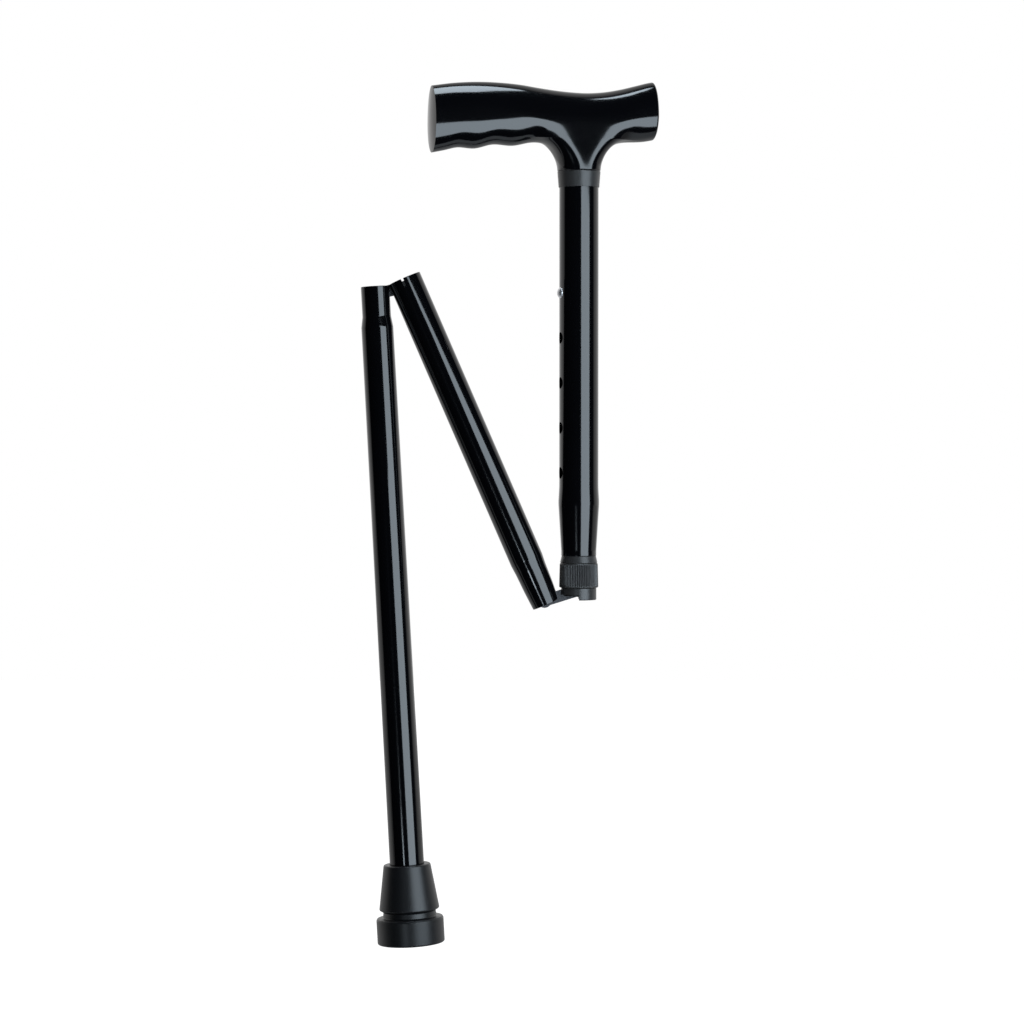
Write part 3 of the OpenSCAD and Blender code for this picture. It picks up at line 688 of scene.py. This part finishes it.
piece = turned("rubberTip", [
    (tip["bore"], tip["rimZ"], tip["boreEdge"]),
    (tip["rim"], tip["rimZ"], tip["coneEdge"]),
    (tip["waist"], tip["coneZ"], tip["coneEdge"]),
    (tip["groove"], tip["coneZ"] + tip["grooveDrop"], tip["grooveEdge"]),
    (tip["groove"] + tip["grooveFlare"], tip["baseZ"] - tip["grooveRise"], tip["flareEdge"]),
    (tip["base"] - tip["baseInset"], tip["baseZ"], tip["shoulderEdge"]),
    (tip["base"], tip["baseZ"] + tip["baseDrop"], tip["baseEdge"]),
    (tip["base"], tip["soleZ"], tip["soleEdge"]),
    *soleTreads(),
    (0, tip["soleZ"]),
    (0, tip["seatZ"]),
    (tip["bore"], tip["seatZ"], rounding["inner"]),
], atLower, segments=144)
finishPiece(piece, "tip", "lower", "rubber")
print("stage: tip built")

# Soft pieces: copies of the CAD cords and leaf spring with doubled points merged, each put on its body
# in the finish of its slot.
softPieces = {
    "upper_draw_cord": {"name": "upperCord", "body": "inner", "slot": "cord", "joint": "upper_draw",
                        "pull": (0.0, 0.0, -1.0), "travel": 0.01213},
    "lower_draw_cord": {"name": "lowerCord", "body": "middle", "slot": "cord", "joint": "lower_draw",
                        "pull": heading(fold["middleTurn"]), "travel": 0.00905},
    "snap_spring": {"name": "leafSpring", "body": "inner", "slot": "steel", "joint": "button_press",
                    "pull": turnZ(upperTube["holeTurn"]) @ Vector((1.0, 0.0, 0.0)), "travel": 0.003},
}
mergeDistance = 1e-6


def addSoft(node, soft):
    bpy.context.view_layer.update()
    source = frame["nodes"][node]
    mesh = source.data.copy()
    work = bmesh.new()
    work.from_mesh(mesh)
    bmesh.ops.remove_doubles(work, verts=work.verts, dist=mergeDistance)
    work.to_mesh(mesh)
    work.free()
    piece = bpy.data.objects.new(soft["name"], mesh)
    piece.matrix_world = source.matrix_world
    bpy.context.scene.collection.objects.link(piece)
    spots = np.empty(3 * len(mesh.vertices), dtype=np.float32)
    mesh.vertices.foreach_get("co", spots)
    finishPiece(piece, node, soft["body"], soft["slot"])
    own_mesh(piece)


for name, soft in softPieces.items():
    addSoft(name, soft)

# CAD pieces that stay in view, in their own finishes
keptSlots = {entry["node"]: entry["material_slot"] for entry in frame["record"]["subparts"]}
for name, node in frame["nodes"].items():
    node.data.materials.clear()
    node.data.materials.append(materials[slotFinishes[keptSlots[name]]])

# Stage, in metres: a pale floor where the straightened cane would stand, a white surrounding, dark cards,
# soft boxes and the camera
stage = {"floorZ": -0.956, "floorReach": 8.0, "floorFront": -0.3, "flagY": -0.3, "ambient": 0.3}
floorLook = {
    "tone": (0.8, 0.8, 0.8), "roughness": 0.9, "glow": 0.9,
    "mirrorFrom": 0.1, "mirrorTo": 0.6, "mirrorShare": 0.4,
}

# What shiny pieces mirror, by how far a direction points backwards (its Y): dark in front, sideShare of the
# white a little past a right angle to the view, and fullShare more straight behind
backdrop = {"from": -0.03, "side": 0.28, "sideShare": 0.7, "full": 0.9, "fullShare": 0.3}


def mathsNode(tree, operation, first, second):
    node = tree.nodes.new("ShaderNodeMath")
    node.operation = operation
    for socket, value in zip(node.inputs, (first, second)):
        if isinstance(value, float):
            socket.default_value = value
        else:
            tree.links.new(value, socket)
    return node.outputs["Value"]


def rampNode(tree, value, low, high, most, interpolation="LINEAR"):
    node = tree.nodes.new("ShaderNodeMapRange")
    node.interpolation_type = interpolation
    node.inputs["From Min"].default_value = low
    node.inputs["From Max"].default_value = high
    node.inputs["To Max"].default_value = most
    tree.links.new(value, node.inputs["Value"])
    return node.outputs["Result"]


def backwards(tree, source, output):
    # The Y part of a place or direction
    split = tree.nodes.new("ShaderNodeSeparateXYZ")
    tree.links.new(tree.nodes.new(source).outputs[output], split.inputs["Vector"])
    return split.outputs["Y"]


def addCard(name, corners, material):
    mesh = bpy.data.meshes.new(name)
    mesh.from_pydata(corners, [], [(0, 1, 2, 3)])
    mesh.materials.append(material)
    card = bpy.data.objects.new(name, mesh)
    bpy.context.scene.collection.objects.link(card)
    return card


def buildFloor():
    # White for camera and transmission rays, and for mirrored rays the further back the more; plain for light
    reach, front, z = stage["floorReach"], stage["floorFront"], stage["floorZ"]
    material, shader = newMaterial("paleFloor", floorLook["tone"], floorLook["roughness"], specular=0.0)
    tree = material.node_tree
    rays = tree.nodes.new("ShaderNodeLightPath").outputs
    behind = rampNode(tree, backwards(tree, "ShaderNodeNewGeometry", "Position"),
                      floorLook["mirrorFrom"], floorLook["mirrorTo"], floorLook["mirrorShare"])
    seen = mathsNode(tree, "MAXIMUM", rays["Is Camera Ray"], rays["Is Transmission Ray"])
    mirrored = mathsNode(tree, "MULTIPLY", rays["Is Glossy Ray"], behind)
    glow = mathsNode(tree, "MULTIPLY", mathsNode(tree, "MAXIMUM", seen, mirrored), floorLook["glow"])
    shader.inputs["Emission Color"].default_value = (1, 1, 1, 1)
    tree.links.new(glow, shader.inputs["Emission Strength"])
    corners = [(-reach, front, z), (reach, front, z), (reach, reach, z), (-reach, reach, z)]
    floor = addCard("floor", corners, material)


def buildWorld():
    # White behind the object for camera, glossy and transmission rays; dark in front of it for glossy
    # rays, as in a studio with a dark room behind the camera; a low even light for the rest
    world = bpy.data.worlds.new("studio")
    bpy.context.scene.world = world
    world.use_nodes = True
    tree = world.node_tree
    rays = tree.nodes.new("ShaderNodeLightPath").outputs
    back = backwards(tree, "ShaderNodeTexCoord", "Generated")
    side = rampNode(tree, back, backdrop["from"], backdrop["side"], backdrop["sideShare"], "SMOOTHSTEP")
    rise = rampNode(tree, back, backdrop["side"], backdrop["full"], backdrop["fullShare"])
    seen = mathsNode(tree, "MAXIMUM", rays["Is Camera Ray"], rays["Is Transmission Ray"])
    mirrored = mathsNode(tree, "MULTIPLY", rays["Is Glossy Ray"], mathsNode(tree, "ADD", side, rise))
    direct = mathsNode(tree, "MAXIMUM", seen, rays["Is Glossy Ray"])
    even = mathsNode(tree, "MULTIPLY", mathsNode(tree, "SUBTRACT", 1.0, direct), stage["ambient"])
    strength = mathsNode(tree, "ADD", mathsNode(tree, "ADD", seen, mirrored), even)
    background = tree.nodes["Background"]
    background.inputs["Color"].default_value = (1, 1, 1, 1)
    tree.links.new(strength, background.inputs["Strength"])


# Dark cards, each from (x, z) to (x, z)
flags = {
    "upperFlag": ((-0.06, -0.004), (0.62, 0.13)),
    "lowerFlag": ((-0.24, -0.2), (0.02, -0.06)),
}


def addFlag(name, low, high):
    # A dark card that keeps a lamp's mirror image off the grip; only mirrored rays meet it
    (x0, z0), (x1, z1), y = low, high, stage["flagY"]
    material, shader = newMaterial(name, (0.0, 0.0, 0.0), 1.0, specular=0.0)
    card = addCard(name, [(x0, y, z0), (x1, y, z0), (x1, y, z1), (x0, y, z1)], material)
    card.visible_camera = False
    card.visible_diffuse = False
    card.visible_transmission = False
    card.visible_shadow = False


lamps = {
    "sideBox": {"spot": (0.559, -0.74, -0.19), "aim": (-0.028, -0.058, -0.19), "size": (0.876, 0.82),
                "radiance": 5.7},
    "topBox": {"spot": (0.045, -0.19, 0.52), "aim": (0.045, -0.19, 0.0), "size": (0.27, 0.29),
               "radiance": 11.0},
    "frontStrip": {"spot": (-1.22, -4.0, -1.33), "aim": (-0.03, 0.0, -0.27), "size": (0.5, 0.66),
                   "radiance": 11.0},
}
lampColour = (0.77, 0.895, 1.0)


def addBox(name, box):
    # An area lamp whose power gives the stated radiance: power = pi * area * radiance
    width, height = box["size"]
    lamp = bpy.data.lights.new(name, "AREA")
    lamp.shape = "RECTANGLE"
    lamp.size = width
    lamp.size_y = height
    lamp.energy = math.pi * width * height * box["radiance"]
    lamp.color = lampColour
    light = bpy.data.objects.new(name, lamp)
    light.location = box["spot"]
    light.rotation_euler = (Vector(box["aim"]) - Vector(box["spot"])).to_track_quat("-Z", "Y").to_euler()
    light.visible_camera = False
    bpy.context.scene.collection.objects.link(light)


buildFloor()
buildWorld()
for name, (low, high) in flags.items():
    addFlag(name, low, high)
for name, box in lamps.items():
    addBox(name, box)

view = {"aim": (-0.0378, 0.0, -0.2248), "distance": 1.8, "down": 1.5, "lens": 111.76, "sensor": 36}
camera = bpy.data.cameras.new("camera")
camera.sensor_width = view["sensor"]
camera.lens = view["lens"]
eye = bpy.data.objects.new("camera", camera)
tilt = math.radians(view["down"])
eye.location = Vector(view["aim"]) + view["distance"] * Vector((0, -math.cos(tilt), math.sin(tilt)))
eye.rotation_euler = (math.pi / 2 - tilt, 0, 0)
bpy.context.scene.collection.objects.link(eye)
bpy.context.scene.camera = eye
bpy.context.scene.view_settings.view_transform = "Standard"
print("stage: floor, lights and camera set")
